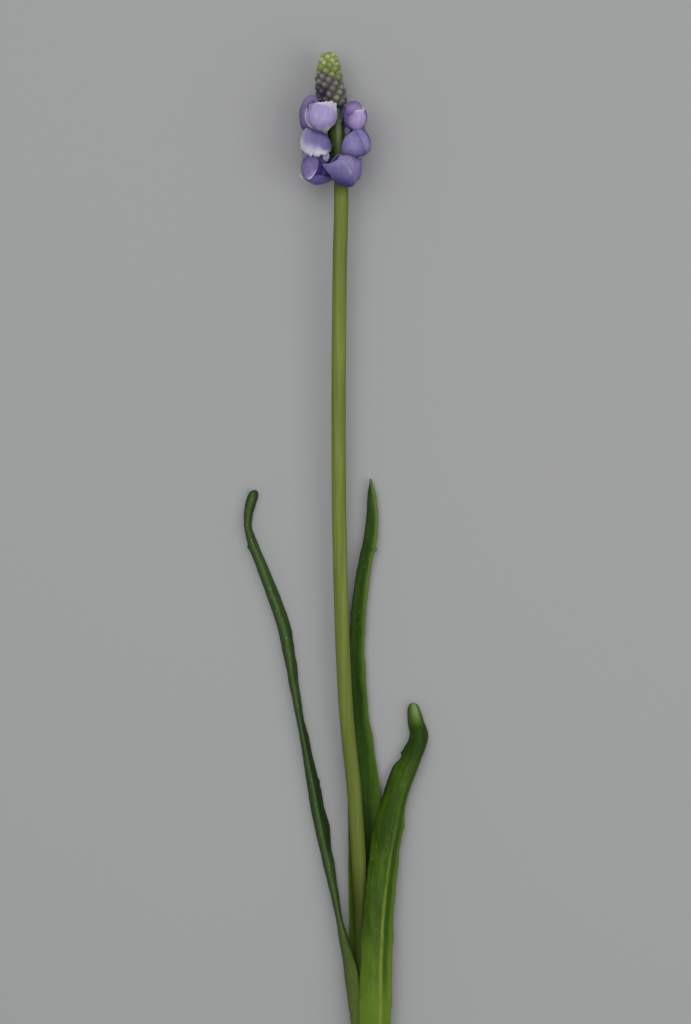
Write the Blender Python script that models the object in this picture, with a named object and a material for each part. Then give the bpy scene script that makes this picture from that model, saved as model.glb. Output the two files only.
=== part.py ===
"""A cut grape hyacinth lying on a level surface.

The surface is Z = 0 and the flower points along +Y. Sizes and places are in millimetres, with the
stalk's cut end at Y = 0, up to the point where a mesh is made, which turns them into metres. At the
end all of it is moved, so that the origin is under the middle of the flower.
"""

import math

import bmesh
import bpy
from mathutils import Matrix, Vector

MM = 0.001

# Driving sizes
ROOM_GROWTH = 0.39  # grown this much, even a shape with few sides leaves 0.3 mm of clearance
STALK_SIDES = 12
STALK_RADIUS = 1.95
AXIS_END_RADIUS = 1.25
HEAD_START = 235.0  # where the stalk enters the florets
HEAD_END = 257.2  # where the cone of buds takes over from the bare axis
FLOWER_STALK_RADIUS = 0.65
FLOWER_STALK_SUNK = 0.7  # how far a flower stalk reaches into its floret
PETAL_THICKNESS = 0.95
PETAL_RIM = 0.65  # petal thickness at its rim
PETAL_SIDES = 10
PETAL_LAYERS = ((0.0, 0.35), (0.35, 0.2), (0.7, 0.1))  # how deep a petal lies and its rim's lift
PETAL_TILT = 62  # degrees from a floret's closed end to the middle of a petal
PETAL_LENGTH = 70  # degrees from that middle to the petal's ends, as seen from the floret's centre
PETAL_WIDTH = 64  # degrees from that middle to its sides
FLORET_HEART = 0.95  # how much smaller a floret's heart is than its outermost petal
HEART_SHIFT = 0.55  # how far the heart lies towards the closed end
BUD_STAND = 0.75  # how far the buds stand out of their core
BUD_SINK = 0.75  # a bud's middle lies this much of its radius below the cone's outline
GOLDEN_ANGLE = math.pi * (3 - math.sqrt(5))
BLADE_RIB = 1.05  # leaf thickness at the midrib
BLADE_EDGE = 0.75  # leaf thickness at its edges
BLADE_STRIPS = 6  # strips across a leaf
BLADE_CROWDING = 1.2  # above 1, a leaf's rows of points stand closer together towards its tip
LEFT_WAVE = (0.15, 15, 0.4)  # how high and how long the waves of a leaf's edges are, and their phase
BACK_WAVE = (0.2, 19, 1.1)
FRONT_WAVE = (0.2, 17, 2.0)
SLAB_REACH = 30  # the slab that presses the florets flat reaches this far to each side
SLAB_START = 220
SLAB_END = 280
SLAB_DEPTH = 5
SHARP_ANGLE = 50  # edges bent by more degrees than this stay sharp

# Middle line of the stalk and the flower axis, as rows of y, x, z
STALK_LINE = (
    (0.0, 7.0, 3.5),
    (43.5, 5.5, 4.1),
    (70.5, 4.0, 4.6),
    (97.5, 1.4, 5.2),
    (138.5, -0.1, 6.1),
    (176.0, -0.4, 7.0),
    (214.0, -0.1, 8.2),
    (235.0, 0.3, 8.9),
    (248.0, -0.4, 9.1),
    (257.2, -1.4, 9.2),
)

# Middle line and radius of the cone of buds, as rows of y, x, z, radius
BUD_CONE = (
    (257.5, -1.5, 9.2, 2.7),
    (259.3, -2.0, 9.2, 4.1),
    (261.5, -2.4, 9.3, 4.15),
    (264.5, -2.8, 9.3, 3.8),
    (268.0, -3.0, 9.2, 3.25),
    (270.5, -3.0, 9.1, 2.6),
    (272.2, -2.9, 9.0, 1.6),
)
CONE_START = 257.5
CONE_END = 272.2
CONE_ROOM_START = 256.7  # the florets are cut back from here on to make room for the buds
CONE_ROOM = 1.0  # and by this much outside the cone's outline

# Each part of the cone: core from y to y, buds from y to y, number of buds, their radius, and how
# many buds of the spiral come before them
CLOSED_BUDS = (CONE_START, 267.9, 258.2, 268.5, 56, 1.15, 0)
TIP_BUDS = (268.2, 271.5, 268.4, 271.6, 17, 1.0, 56)

# Florets as centre x and y, height above the flower axis, radius, the way the mouth faces, and the
# turn of the first petal from the upper side in degrees. The first six face up.
FLORETS = (
    (-5.4, 255.4, 3.2, 4.4, (0.35, -0.90, 0.10), 0),
    (3.7, 254.4, 2.9, 4.0, (0.30, -0.90, 0.10), 50),
    (-6.3, 247.9, 2.6, 4.3, (0.05, -0.95, 0.10), 0),
    (4.3, 247.6, 3.0, 4.3, (0.15, -0.95, 0.20), -35),
    (-6.7, 240.6, 2.0, 4.2, (0.55, -0.50, 0.60), -75),
    (0.5, 240.3, 4.6, 4.6, (-0.30, -0.80, 0.35), 25),
    (-6.0, 251.6, -2.6, 4.1, (-0.40, -0.90, -0.20), 75),
    (-5.9, 244.3, -2.6, 4.1, (-0.40, -0.90, -0.20), 40),
    (-0.9, 255.4, -5.2, 3.9, (0.00, -0.90, -0.30), 100),
    (-0.6, 248.2, -5.2, 4.0, (-0.05, -0.90, -0.30), 140),
    (0.2, 241.2, -5.2, 3.9, (0.10, -0.90, -0.30), 60),
    (3.1, 251.4, -2.3, 4.0, (0.40, -0.90, -0.20), 160),
    (2.8, 244.3, -2.7, 3.7, (0.40, -0.90, -0.20), 20),
    (3.0, 239.8, -0.6, 2.8, (0.50, -0.80, 0.00), 0),
)

# A leaf's midrib is rows of y, x, z. Its halves are rows of y, reach sideways and drop from the
# midrib to the edge. All three run along the leaf's outer face, the one with the keel.
LEFT_MIDRIB = (
    (0.0, 4.3, 5.45),
    (24.0, 2.6, 5.75),
    (39.0, -0.4, 4.8),
    (56.5, -3.8, 3.9),
    (74.0, -7.2, 3.7),
    (99.5, -12.2, 3.6),
    (117.0, -15.3, 3.7),
    (134.0, -21.4, 3.6),
    (139.5, -23.6, 3.4),
    (144.0, -25.0, 3.2),
    (148.0, -24.8, 2.9),
    (151.5, -23.9, 2.7),
    (154.2, -23.2, 2.5),
)
LEFT_WEST_HALF = (
    (0.0, 0.3, 2.4),
    (24.0, 1.8, 3.2),
    (39.0, 1.2, 3.7),
    (65.0, 2.2, 3.5),
    (91.0, 1.3, 3.2),
    (117.0, 2.0, 3.4),
    (134.0, 1.8, 3.3),
    (139.5, 1.7, 3.1),
    (144.0, 1.2, 2.9),
    (148.0, 1.5, 2.6),
    (151.5, 1.7, 2.2),
    (154.2, 1.2, 1.6),
)
LEFT_EAST_HALF = (
    (0.0, 2.2, -1.1),
    (24.0, 2.3, -0.75),
    (33.0, 1.3, 1.4),
    (42.0, 1.2, 2.6),
    (65.0, 2.2, 3.5),
    (91.0, 1.3, 3.2),
    (117.0, 2.1, 3.4),
    (134.0, 1.8, 3.3),
    (139.5, 1.5, 3.1),
    (144.0, 1.3, 2.9),
    (148.0, 1.5, 2.6),
    (151.5, 1.6, 2.2),
    (154.2, 1.1, 1.6),
)
BACK_MIDRIB = (
    (0.0, 7.5, -0.3),
    (36.0, 7.2, -0.3),
    (70.5, 6.6, -0.3),
    (97.5, 5.0, -0.2),
    (114.0, 4.6, 0.2),
    (130.0, 6.0, 0.6),
    (145.0, 8.6, 1.0),
    (157.2, 8.3, 1.2),
)
BACK_WEST_HALF = (
    (0.0, 4.3, -1.8),
    (31.0, 4.9, -2.2),
    (46.0, 5.0, -2.9),
    (62.0, 4.9, -2.8),
    (75.0, 4.4, -2.1),
    (97.5, 2.7, -1.5),
    (130.0, 2.1, -1.6),
    (145.0, 1.9, -1.2),
    (152.0, 1.3, -0.8),
    (157.2, 0.4, -0.2),
)
BACK_EAST_HALF = (
    (0.0, 4.3, -1.6),
    (36.0, 5.1, -1.8),
    (70.5, 4.7, -2.2),
    (81.5, 3.8, -2.2),
    (97.5, 2.6, -2.0),
    (130.0, 2.2, -1.6),
    (145.0, 1.9, -1.1),
    (152.0, 1.4, -0.7),
    (157.2, 0.4, -0.2),
)
FRONT_MIDRIB = (
    (0.0, 10.0, 9.3),
    (27.0, 10.2, 9.3),
    (43.0, 11.2, 8.7),
    (56.0, 13.0, 7.5),
    (71.0, 16.2, 5.9),
    (79.0, 19.4, 5.1),
    (84.0, 21.3, 4.8),
    (88.0, 21.6, 4.4),
    (92.0, 20.8, 3.7),
    (96.6, 19.8, 2.9),
)
FRONT_WEST_HALF = (
    (0.0, 5.1, 1.6),
    (27.0, 4.9, 1.6),
    (39.5, 4.8, 1.7),
    (51.0, 4.9, 2.0),
    (61.0, 5.5, 2.4),
    (71.0, 5.1, 2.4),
    (79.0, 5.4, 3.0),
    (81.8, 4.3, 3.0),
    (84.2, 4.4, 3.3),
    (86.5, 3.2, 2.9),
    (90.0, 2.9, 2.7),
    (93.5, 2.4, 2.3),
    (96.6, 1.2, 1.5),
)
FRONT_EAST_HALF = (
    (0.0, 3.1, 4.0),
    (20.0, 4.2, 4.2),
    (39.5, 3.9, 4.3),
    (56.5, 3.4, 4.3),
    (71.0, 2.4, 3.9),
    (79.0, 1.9, 3.6),
    (84.0, 1.9, 3.5),
    (88.0, 2.3, 3.3),
    (92.0, 2.1, 2.7),
    (94.5, 1.7, 2.1),
    (96.6, 1.0, 1.5),
)

SCENE = bpy.context.scene


def material(name, colour, roughness):
    made = bpy.data.materials.new(name)
    made.use_nodes = True
    shader = made.node_tree.nodes["Principled BSDF"]
    shader.inputs["Base Color"].default_value = (*colour, 1.0)
    shader.inputs["Roughness"].default_value = roughness
    shader.inputs["Metallic"].default_value = 0.0
    return made


def follow(rows, y):
    """The values at y of the smooth curve through rows of (y, value, value, ...)."""
    last = len(rows) - 1
    i = 0
    while i < last - 1 and y > rows[i + 1][0]:
        i += 1
    start, end = rows[i], rows[i + 1]
    before, after = rows[max(i - 1, 0)], rows[min(i + 2, last)]
    span = end[0] - start[0]
    t = min(max((y - start[0]) / span, 0.0), 1.0)
    values = []
    for k in range(1, len(start)):
        leaving = span * (end[k] - before[k]) / (end[0] - before[0])
        arriving = span * (after[k] - start[k]) / (after[0] - start[0])
        values.append(
            (2 * t**3 - 3 * t**2 + 1) * start[k]
            + (t**3 - 2 * t**2 + t) * leaving
            + (3 * t**2 - 2 * t**3) * end[k]
            + (t**3 - t**2) * arriving
        )
    return values


def mesh_object(name, points, faces):
    mesh = bpy.data.meshes.new(name)
    mesh.from_pydata([Vector(point) * MM for point in points], [], faces)
    made = bpy.data.objects.new(name, mesh)
    SCENE.collection.objects.link(made)
    return made


def closed_tube(name, rings):
    """Joins rings of points, all of one length, into a tube with a flat cap at each end."""
    sides = len(rings[0])
    points = [point for ring in rings for point in ring]
    faces = [tuple(reversed(range(sides)))]
    for i in range(len(rings) - 1):
        for j in range(sides):
            a, b = i * sides + j, i * sides + (j + 1) % sides
            faces.append((a, b, b + sides, a + sides))
    faces.append(tuple(range((len(rings) - 1) * sides, len(rings) * sides)))
    return mesh_object(name, points, faces)


def round_ring(x, y, z, radius, sides=STALK_SIDES):
    """A ring round a line that runs along Y."""
    turns = [2 * math.pi * j / sides for j in range(sides)]
    return [(x + radius * math.sin(a), y, z + radius * math.cos(a)) for a in turns]


def fuse(name, pieces):
    """One Boolean union of all the pieces, which are then removed."""
    group = bpy.data.collections.new(name + "_pieces")
    for piece in pieces[1:]:
        group.objects.link(piece)
    body = pieces[0]
    body.name = name
    join = body.modifiers.new("join", "BOOLEAN")
    join.operation = "UNION"
    join.operand_type = "COLLECTION"
    join.solver = "MANIFOLD"
    join.collection = group
    apply_modifiers(body)
    for piece in pieces[1:]:
        bpy.data.objects.remove(piece)
    bpy.data.collections.remove(group)
    return body


def cut(body, cutter):
    """Takes the cutter's shape away from the body and removes the cutter."""
    away = body.modifiers.new("cut", "BOOLEAN")
    away.operation = "DIFFERENCE"
    away.solver = "MANIFOLD"
    away.object = cutter
    apply_modifiers(body)
    bpy.data.objects.remove(cutter)


def apply_modifiers(body):
    graph = bpy.context.evaluated_depsgraph_get()
    done = bpy.data.meshes.new_from_object(body.evaluated_get(graph))
    body.modifiers.clear()
    body.data = done


def keep_outer_shell(body):
    """Fills sealed hollows and drops loose scraps, by keeping the largest shell alone."""
    shape = bmesh.new()
    shape.from_mesh(body.data)
    unseen = set(shape.faces)
    shells = []
    while unseen:
        edge_of_growth = [unseen.pop()]
        shell = []
        while edge_of_growth:
            face = edge_of_growth.pop()
            shell.append(face)
            for edge in face.edges:
                beside = [other for other in edge.link_faces if other in unseen]
                if len(edge.link_faces) == 2 and beside:
                    unseen.remove(beside[0])
                    edge_of_growth.append(beside[0])
        shells.append(shell)
    shells.sort(key=len)
    spare = [face for shell in shells[:-1] for face in shell]
    bmesh.ops.delete(shape, geom=spare, context="FACES")
    bmesh.ops.triangulate(shape, faces=shape.faces)
    shape.to_mesh(body.data)
    shape.free()


def finish(body, paint):
    body.data.materials.clear()
    body.data.materials.append(paint)
    body.data.shade_smooth()
    body.data.set_sharp_from_angle(angle=math.radians(SHARP_ANGLE))


def stalk_with_flower_stalks(name, grown=0.0):
    """The stalk, the axis and the florets' own stalks, thicker all round by grown."""
    rings = []
    for step in range(31):
        y = HEAD_END * step / 30
        x, z = follow(STALK_LINE, y)
        past = max(0.0, y - HEAD_START) / (HEAD_END - HEAD_START)
        radius = STALK_RADIUS + (AXIS_END_RADIUS - STALK_RADIUS) * past
        rings.append(round_ring(x, y, z, radius + grown))
    pieces = [closed_tube(name, rings)]
    for x, y, height, radius, _mouth, _turn in FLORETS:
        pieces.append(flower_stalk(x, y, height, radius, grown))
    return fuse(name, pieces)


def flower_stalk(x, y, height, radius, grown):
    """A short tapered stalk from inside the axis into a floret's heart."""
    root_x, root_z = follow(STALK_LINE, y - 1.0)
    root = Vector((root_x, y - 1.0, root_z))
    centre = Vector((x, y, root_z + height))
    way = (centre - root).normalized()
    reach = max((centre - root).length - radius + FLOWER_STALK_SUNK, 2.4) + grown
    side = way.cross(Vector((0, 1, 0))).normalized()
    other = way.cross(side)
    rings = []
    for along, wide in ((0.3, 1.3), (0.8, 1.0), (1.0, 1.0)):
        middle = root + way * reach * along
        thick = FLOWER_STALK_RADIUS * wide + grown
        turns = [2 * math.pi * j / 6 for j in range(6)]
        rings.append([middle + thick * (side * math.cos(a) + other * math.sin(a)) for a in turns])
    return closed_tube("flower_stalk", rings)


def petal(centre, radius, lift, mouth, facing):
    """A cupped petal: a patch of a ball, oval in outline, with its rim lifted a little."""
    length = (mouth - facing * mouth.dot(facing)).normalized()
    width = facing.cross(length)
    points = [centre + facing * radius, centre + facing * (radius - PETAL_THICKNESS)]
    for part, raised in ((0.55, 0.0), (1.0, lift), (1.0, lift - PETAL_RIM)):
        for j in range(PETAL_SIDES):
            a = 2 * math.pi * j / PETAL_SIDES
            reach = 1 / math.hypot(math.cos(a) / PETAL_LENGTH, math.sin(a) / PETAL_WIDTH)
            reach *= math.radians(part) * (1 + 0.05 * math.sin(3 * a))
            away = facing * math.cos(reach)
            away += (length * math.cos(a) + width * math.sin(a)) * math.sin(reach)
            points.append(centre + away * (radius + raised))
    faces = []
    for j in range(PETAL_SIDES):
        a, b = 2 + j, 2 + (j + 1) % PETAL_SIDES
        faces.append((0, a, b))
        for _step in range(2):
            c, d = b + PETAL_SIDES, a + PETAL_SIDES
            faces += [(a, d, c), (a, c, b)]
            a, b = d, c
        faces.append((1, b, a))
    return mesh_object("petal", points, faces)


def ball(name, centre, radius, finer):
    made = mesh_object(name, [], [])
    shape = bmesh.new()
    bmesh.ops.create_icosphere(shape, subdivisions=2 if finer else 1, radius=radius * MM)
    bmesh.ops.translate(shape, verts=shape.verts, vec=centre * MM)
    shape.to_mesh(made.data)
    shape.free()
    return made


def floret(x, y, height, radius, mouth, turn):
    """A floret's heart and its three petals round the way the mouth faces, as loose pieces."""
    centre = Vector((x, y, follow(STALK_LINE, y)[1] + height))
    mouth = Vector(mouth).normalized()
    up = (Vector((0, 0, 1)) - mouth * mouth.z).normalized()
    side = mouth.cross(up)
    pieces = [ball("heart", centre - mouth * HEART_SHIFT, radius - FLORET_HEART, True)]
    tilt = math.radians(PETAL_TILT)
    for k, (deep, lift) in enumerate(PETAL_LAYERS):
        a = math.radians(turn + 120 * k)
        outward = up * math.cos(a) + side * math.sin(a)
        facing = outward * math.sin(tilt) - mouth * math.cos(tilt)
        pieces.append(petal(centre, radius - deep, lift, mouth, facing))
    return pieces


def cone_rings(start, end, inset, steps=6):
    rings = []
    for step in range(steps + 1):
        y = start + (end - start) * step / steps
        x, z, radius = follow(BUD_CONE, y)
        rings.append(round_ring(x, y, z, radius - inset))
    return rings


def bud_cone(name, sizes, grown=0.0):
    """Buds in a spiral on a smaller core, thicker all round by grown."""
    core_start, core_end, first_bud, last_bud, count, size, before = sizes
    pieces = [closed_tube(name, cone_rings(core_start - grown, core_end, BUD_STAND - grown))]
    for n in range(count):
        y = first_bud + (last_bud - first_bud) * n / (count - 1)
        x, z, radius = follow(BUD_CONE, y)
        a = (before + n) * GOLDEN_ANGLE
        out = Vector((math.sin(a), 0.0, math.cos(a)))
        middle = Vector((x, y, z)) + out * (radius - size * BUD_SINK)
        pieces.append(ball("bud", middle, size + grown, False))
    body = fuse(name, pieces)
    keep_outer_shell(body)
    return body


def leaf(name, midrib, west_half, east_half, keel_up, steps, wave, paint):
    """A channelled blade between a keeled outer face and an inner face, thinner at its edges."""
    length = midrib[-1][0]
    side = -1 if keel_up else 1
    outer, inner = [], []
    for step in range(steps + 1):
        y = length * (1 - (1 - step / steps) ** BLADE_CROWDING)
        x, z = follow(midrib, y)
        west_reach, west_drop = follow(west_half, y)
        east_reach, east_drop = follow(east_half, y)
        west = Vector((x - west_reach, z - west_drop + wave(y)))
        east = Vector((x + east_reach, z - east_drop + wave(length - y)))
        middle = Vector((x, z))
        across = arch(west, middle, east)
        edges = (across[1] - across[0], across[-1] - across[-2])
        inward = [Vector((-way.y, way.x)).normalized() * side * BLADE_EDGE for way in edges]
        rib = Vector((0, side * BLADE_RIB))
        outer.append([(p.x, y, p.y) for p in across])
        inner.append([(p.x, y, p.y) for p in arch(west + inward[0], middle + rib, east + inward[1])])
    columns = BLADE_STRIPS + 1
    rows = steps + 1
    points = [(x, y, max(z, 0.0)) for row in outer + inner for x, y, z in row]
    below = rows * columns
    faces = []
    for i in range(steps):
        for j in range(BLADE_STRIPS):
            a = i * columns + j
            b, c, d = a + 1, a + columns + 1, a + columns
            faces += [(a, b, c), (a, c, d)]
            faces += [(a + below, c + below, b + below), (a + below, d + below, c + below)]
        a, d = i * columns, (i + 1) * columns
        faces += [(a, d, d + below), (a, d + below, a + below)]
        b, c = a + BLADE_STRIPS, d + BLADE_STRIPS
        faces += [(c, b, b + below), (c, b + below, c + below)]
    for j in range(BLADE_STRIPS):
        faces += [(j + 1, j, j + below), (j + 1, j + below, j + 1 + below)]
        a = steps * columns + j
        faces += [(a, a + 1, a + 1 + below), (a, a + 1 + below, a + below)]
    if not keel_up:
        faces = [face[::-1] for face in faces]
    body = mesh_object(name, points, faces)
    finish(body, paint)
    return body


def arch(west, middle, east):
    """Points across a blade, on the parabola through its two edges and its midrib."""
    places = []
    for j in range(BLADE_STRIPS + 1):
        u = 2 * j / BLADE_STRIPS - 1
        places.append(middle + (east - west) * (u / 2) + ((west + east) / 2 - middle) * u * u)
    return places


def wavy(height, length, phase):
    return lambda y: height * math.sin(2 * math.pi * y / length + phase)


def rest_flat(body):
    """Presses flat what would reach below the surface."""
    west, east = -SLAB_REACH, SLAB_REACH
    corners = ((west, SLAB_START), (east, SLAB_START), (east, SLAB_END), (west, SLAB_END))
    slab = mesh_object(
        "slab",
        [(x, y, z) for z in (-SLAB_DEPTH, 0) for x, y in corners],
        [(3, 2, 1, 0), (4, 5, 6, 7), (0, 1, 5, 4), (1, 2, 6, 5), (2, 3, 7, 6), (3, 0, 4, 7)],
    )
    cut(body, slab)


def build():
    stalk = stalk_with_flower_stalks("flower_stem")
    keep_outer_shell(stalk)
    finish(stalk, material("stalk_green", (0.130, 0.160, 0.040), 0.5))

    pieces = []
    for row in FLORETS:
        pieces += floret(*row)
    florets = fuse("open_florets", pieces)
    cut(florets, stalk_with_flower_stalks("stalk_room", ROOM_GROWTH))
    cut(florets, closed_tube("cone_room", cone_rings(CONE_ROOM_START, CONE_END, -CONE_ROOM)))
    rest_flat(florets)
    keep_outer_shell(florets)
    finish(florets, material("floret_violet", (0.250, 0.200, 0.480), 0.55))

    buds = bud_cone("closed_buds", CLOSED_BUDS)
    cut(buds, bud_cone("tip_room", TIP_BUDS, ROOM_GROWTH))
    keep_outer_shell(buds)
    finish(buds, material("bud_grey_violet", (0.100, 0.095, 0.110), 0.6))
    tip = bud_cone("tip_buds", TIP_BUDS)
    finish(tip, material("bud_lime", (0.270, 0.330, 0.110), 0.55))

    green = material("leaf_green", (0.050, 0.095, 0.020), 0.4)
    leaf("leaf_left", LEFT_MIDRIB, LEFT_WEST_HALF, LEFT_EAST_HALF, True, 32, wavy(*LEFT_WAVE), green)
    leaf("leaf_back", BACK_MIDRIB, BACK_WEST_HALF, BACK_EAST_HALF, False, 30, wavy(*BACK_WAVE), green)
    leaf("leaf_front", FRONT_MIDRIB, FRONT_WEST_HALF, FRONT_EAST_HALF, True, 24, wavy(*FRONT_WAVE), green)


def put_origin_under_middle():
    """Moves every piece, so that the origin is under the middle of the flower's bounding box."""
    points = [point.co for body in SCENE.objects for point in body.data.vertices]
    middle = [(min(p[k] for p in points) + max(p[k] for p in points)) / 2 for k in (0, 1)]
    for body in SCENE.objects:
        body.data.transform(Matrix.Translation((-middle[0], -middle[1], 0.0)))


for old in list(bpy.data.objects):
    bpy.data.objects.remove(old)
build()
put_origin_under_middle()
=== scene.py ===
import math

import bpy
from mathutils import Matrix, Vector, noise


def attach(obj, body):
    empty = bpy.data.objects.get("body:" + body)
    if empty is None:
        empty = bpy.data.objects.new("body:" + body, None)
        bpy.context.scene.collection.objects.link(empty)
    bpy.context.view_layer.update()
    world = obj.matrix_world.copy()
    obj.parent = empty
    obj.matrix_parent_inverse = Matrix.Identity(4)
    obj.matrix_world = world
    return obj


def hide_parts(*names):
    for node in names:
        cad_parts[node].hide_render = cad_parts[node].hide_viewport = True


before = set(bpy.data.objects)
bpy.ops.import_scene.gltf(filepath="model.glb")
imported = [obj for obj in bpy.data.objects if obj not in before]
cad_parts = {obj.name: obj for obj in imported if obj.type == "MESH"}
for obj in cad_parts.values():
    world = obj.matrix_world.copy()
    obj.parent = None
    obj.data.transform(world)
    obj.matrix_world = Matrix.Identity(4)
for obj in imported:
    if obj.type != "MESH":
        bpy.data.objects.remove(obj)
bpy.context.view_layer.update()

# Camera, light and floor
# The flower lies on a plain pale grey table and is seen straight from above, as the photograph
# sees it from the front. Two broad soft lamps hang over it and a dim room lights the rest.
VIEW_MIDDLE = (0.00269, 0.0120)
VIEW_LENGTH = 0.2765
CAMERA_HEIGHT = 1.5
MIDDLE_HEIGHT = 0.007
FILM_LENGTH = 36.0
ROOM_COLOUR = (0.95, 0.97, 1.0, 1.0)
ROOM_LIGHT = 0.45
TABLE_COLOUR = (0.287, 0.287, 0.287, 1.0)
TABLE_SIZE = 6.0
TABLE_LEVEL = -0.00005

camera = bpy.data.cameras.new("camera")
camera.sensor_width = FILM_LENGTH
camera.lens = FILM_LENGTH * (CAMERA_HEIGHT - MIDDLE_HEIGHT) / VIEW_LENGTH
camera.clip_end = 10.0
viewer = bpy.data.objects.new("camera", camera)
viewer.location = (*VIEW_MIDDLE, CAMERA_HEIGHT)
bpy.context.scene.collection.objects.link(viewer)
bpy.context.scene.camera = viewer
bpy.context.scene.view_settings.view_transform = "Standard"

room = bpy.data.worlds.new("room")
room.use_nodes = True
room.node_tree.nodes["Background"].inputs["Color"].default_value = ROOM_COLOUR
room.node_tree.nodes["Background"].inputs["Strength"].default_value = ROOM_LIGHT
bpy.context.scene.world = room


def soft_lamp(name, place, size, power):
    lamp = bpy.data.lights.new(name, "AREA")
    lamp.size = size
    lamp.energy = power
    hung = bpy.data.objects.new(name, lamp)
    hung.location = place
    hung.rotation_euler = (-Vector(place)).to_track_quat("-Z", "Y").to_euler()
    bpy.context.scene.collection.objects.link(hung)


soft_lamp("lamp_above", (-0.20, 0.28, 0.98), 0.9, 6.6)
soft_lamp("lamp_side", (0.60, -0.10, 0.80), 0.7, 3.6)

bpy.ops.object.select_all(action="DESELECT")
bpy.ops.mesh.primitive_plane_add(size=TABLE_SIZE, location=(0, 0, TABLE_LEVEL))
floor = bpy.context.object
floor.name = "floor"
table_grey = bpy.data.materials.new("table_grey")
table_grey.use_nodes = True
table_shader = table_grey.node_tree.nodes["Principled BSDF"]
table_shader.inputs["Base Color"].default_value = TABLE_COLOUR
table_shader.inputs["Roughness"].default_value = 0.9
floor.data.materials.append(table_grey)


# Stalk
# The leafless stalk is one grown piece with the flower axis and the short flower stalks that carry
# the florets. It is smooth, juicy and pale olive green, and it was cut off straight at its foot.
FOOT = Vector((0.001235, -0.136225, 0.0))  # where x = 0, y = 0 of the sizes in millimetres lies
MM = 0.001

STALK_LINE = (
    (0.0, 7.0, 3.5),
    (43.5, 5.5, 4.1),
    (70.5, 4.0, 4.6),
    (97.5, 1.4, 5.2),
    (138.5, -0.1, 6.1),
    (176.0, -0.4, 7.0),
    (214.0, -0.1, 8.2),
    (235.0, 0.3, 8.9),
    (248.0, -0.4, 9.1),
    (257.2, -1.4, 9.2),
)
STALK_RADIUS = 1.95
AXIS_END_RADIUS = 1.25
HEAD_START = 235.0
HEAD_END = 257.2
UNEVENNESS = 0.05
SHOULDER_MIDDLE = 249.5  # the axis is broader here, where the viewer sees it between the florets
SHOULDER_REACH = 3.6
SHOULDER_WIDTH = 0.75
SHOULDER_SHIFT = 0.25


def follow(rows, y):
    """The values at y of the smooth curve through rows of (y, value, value, ...)."""
    last = len(rows) - 1
    i = 0
    while i < last - 1 and y > rows[i + 1][0]:
        i += 1
    start, end = rows[i], rows[i + 1]
    before, after = rows[max(i - 1, 0)], rows[min(i + 2, last)]
    span = end[0] - start[0]
    t = min(max((y - start[0]) / span, 0.0), 1.0)
    values = []
    for k in range(1, len(start)):
        leaving = span * (end[k] - before[k]) / (end[0] - before[0])
        arriving = span * (after[k] - start[k]) / (after[0] - start[0])
        values.append(
            (2 * t**3 - 3 * t**2 + 1) * start[k]
            + (t**3 - 2 * t**2 + t) * leaving
            + (3 * t**2 - 2 * t**3) * end[k]
            + (t**3 - t**2) * arriving
        )
    return values


def raise_tube(name, sides, rings):
    """A disc raised ring by ring into a closed rod, each ring one unit above the last."""
    bpy.ops.object.select_all(action="DESELECT")
    bpy.ops.mesh.primitive_circle_add(
        vertices=sides, radius=1.0, fill_type="NGON", location=(0, 0, 0)
    )
    made = bpy.context.object
    made.name = name
    bpy.ops.object.mode_set(mode="EDIT")
    bpy.ops.mesh.select_all(action="SELECT")
    for _ring in range(rings):
        bpy.ops.mesh.extrude_region_move(TRANSFORM_OT_translate={"value": (0, 0, 1)})
    bpy.ops.mesh.select_all(action="SELECT")
    bpy.ops.mesh.normals_make_consistent(inside=False)
    bpy.ops.object.mode_set(mode="OBJECT")
    return made


def shape_tube(made, rings, place, across_and_along):
    """Moves every point of a raised rod to where place(turn, share of its length) says."""
    mesh = made.data
    layer = mesh.uv_layers.new(name="surface")
    turns = []
    for point in mesh.vertices:
        turns.append((math.atan2(point.co.y, point.co.x), min(max(point.co.z / rings, 0.0), 1.0)))
    for loop in mesh.loops:
        layer.data[loop.index].uv = across_and_along(*turns[loop.vertex_index])
    for point, (turn, share) in zip(mesh.vertices, turns):
        point.co = Vector(place(turn, share)) * MM + FOOT


def face_outwards(made, crease):
    bpy.ops.object.select_all(action="DESELECT")
    made.select_set(True)
    bpy.context.view_layer.objects.active = made
    bpy.ops.object.mode_set(mode="EDIT")
    bpy.ops.mesh.select_all(action="SELECT")
    bpy.ops.mesh.normals_make_consistent(inside=False)
    bpy.ops.object.mode_set(mode="OBJECT")
    bpy.ops.object.shade_smooth_by_angle(angle=math.radians(crease))


def join(name, pieces):
    """Joins loose pieces into one object, with its origin at the world's."""
    bpy.ops.object.select_all(action="DESELECT")
    for piece in pieces:
        piece.select_set(True)
    bpy.context.view_layer.objects.active = pieces[0]
    bpy.ops.object.join()
    made = bpy.context.object
    made.name = name
    bpy.ops.object.transform_apply(location=True, rotation=True, scale=True)
    return made


def stalk_place(turn, share):
    y = HEAD_END * share
    x, z = follow(STALK_LINE, y)
    past = max(0.0, y - HEAD_START) / (HEAD_END - HEAD_START)
    radius = STALK_RADIUS + (AXIS_END_RADIUS - STALK_RADIUS) * past
    around = Vector((2.0 * math.cos(turn), 2.0 * math.sin(turn), y / 9.0))
    radius += UNEVENNESS * noise.noise(around)
    shoulder = math.exp(-(((y - SHOULDER_MIDDLE) / SHOULDER_REACH) ** 2))
    wide = radius + SHOULDER_WIDTH * shoulder
    x -= SHOULDER_SHIFT * shoulder
    return x + wide * math.cos(turn), y, z + radius * math.sin(turn)


STALK_RINGS = 150
rod = raise_tube("rod", 40, STALK_RINGS)
shape_tube(rod, STALK_RINGS, stalk_place, lambda turn, share: (0.5 + turn / (2 * math.pi), share))
face_outwards(rod, 60)

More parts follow.
